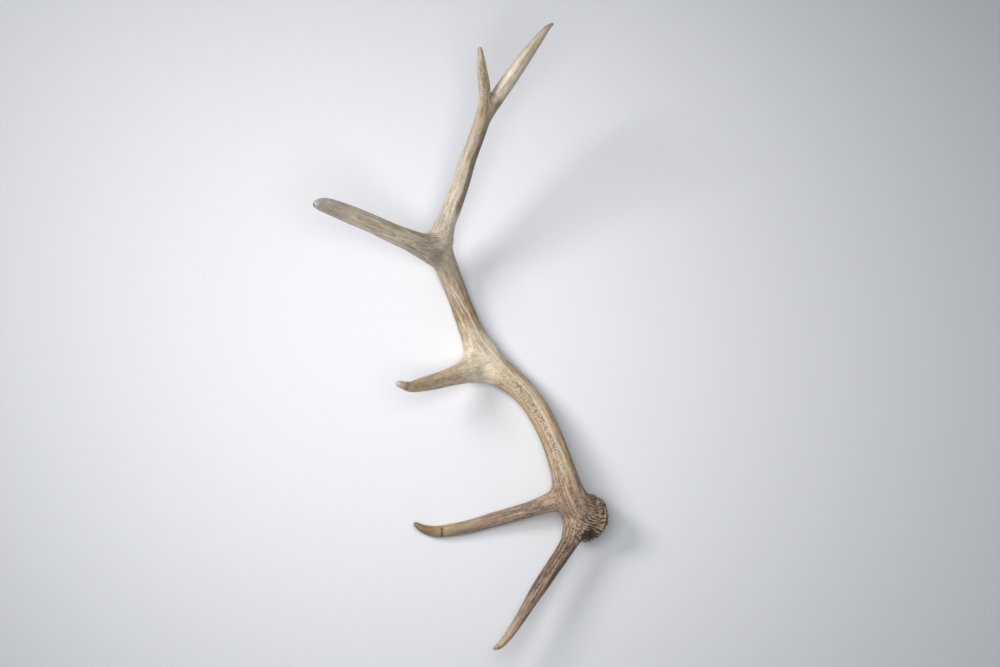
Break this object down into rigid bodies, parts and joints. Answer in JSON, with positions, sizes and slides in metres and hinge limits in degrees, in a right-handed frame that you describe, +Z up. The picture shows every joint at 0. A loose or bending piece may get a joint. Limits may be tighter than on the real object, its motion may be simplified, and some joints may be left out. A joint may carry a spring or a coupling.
{
  "type": "shed deer antler",
  "caption": "Branched shed antler of a large stag, with a knobbly burr, a bowed beam, tines along its front and a forked top, lying on its side.",
  "frame": {"origin": "middle of the underside of the box around the lying antler, on the surface it lies on", "axes": "+Z up from that surface, +Y from the brow tine end towards the forked top, +X towards the back of the beam, away from the tines"},
  "size_m": [0.5562, 1.1068, 0.2733],
  "materials": {
    "burr_bone": "rough grey-brown pearled bone with pale worn beads",
    "brow_bone": "grey-brown veined bone, worn ivory at the tip",
    "brown_bone": "brown bone with lengthwise grain, satin towards the tip",
    "tan_bone": "tan bone with lengthwise gutters, pale ridges and dark pores",
    "taupe_bone": "taupe bone with long streaks and a polished grey tip",
    "ivory_bone": "smooth ivory bone with shallow grooves and a dark polished point"
  },
  "bodies": {
    "root": {"burr_base": "burr_bone", "brow_tine": "brow_bone", "bez_tine": "brown_bone", "lower_beam": "tan_bone", "trez_tine": "tan_bone", "middle_beam": "tan_bone", "royal_tine": "taupe_bone", "upper_beam": "tan_bone", "front_fork_tine": "tan_bone", "rear_fork_tine": "ivory_bone"}
  },
  "joints": []
}
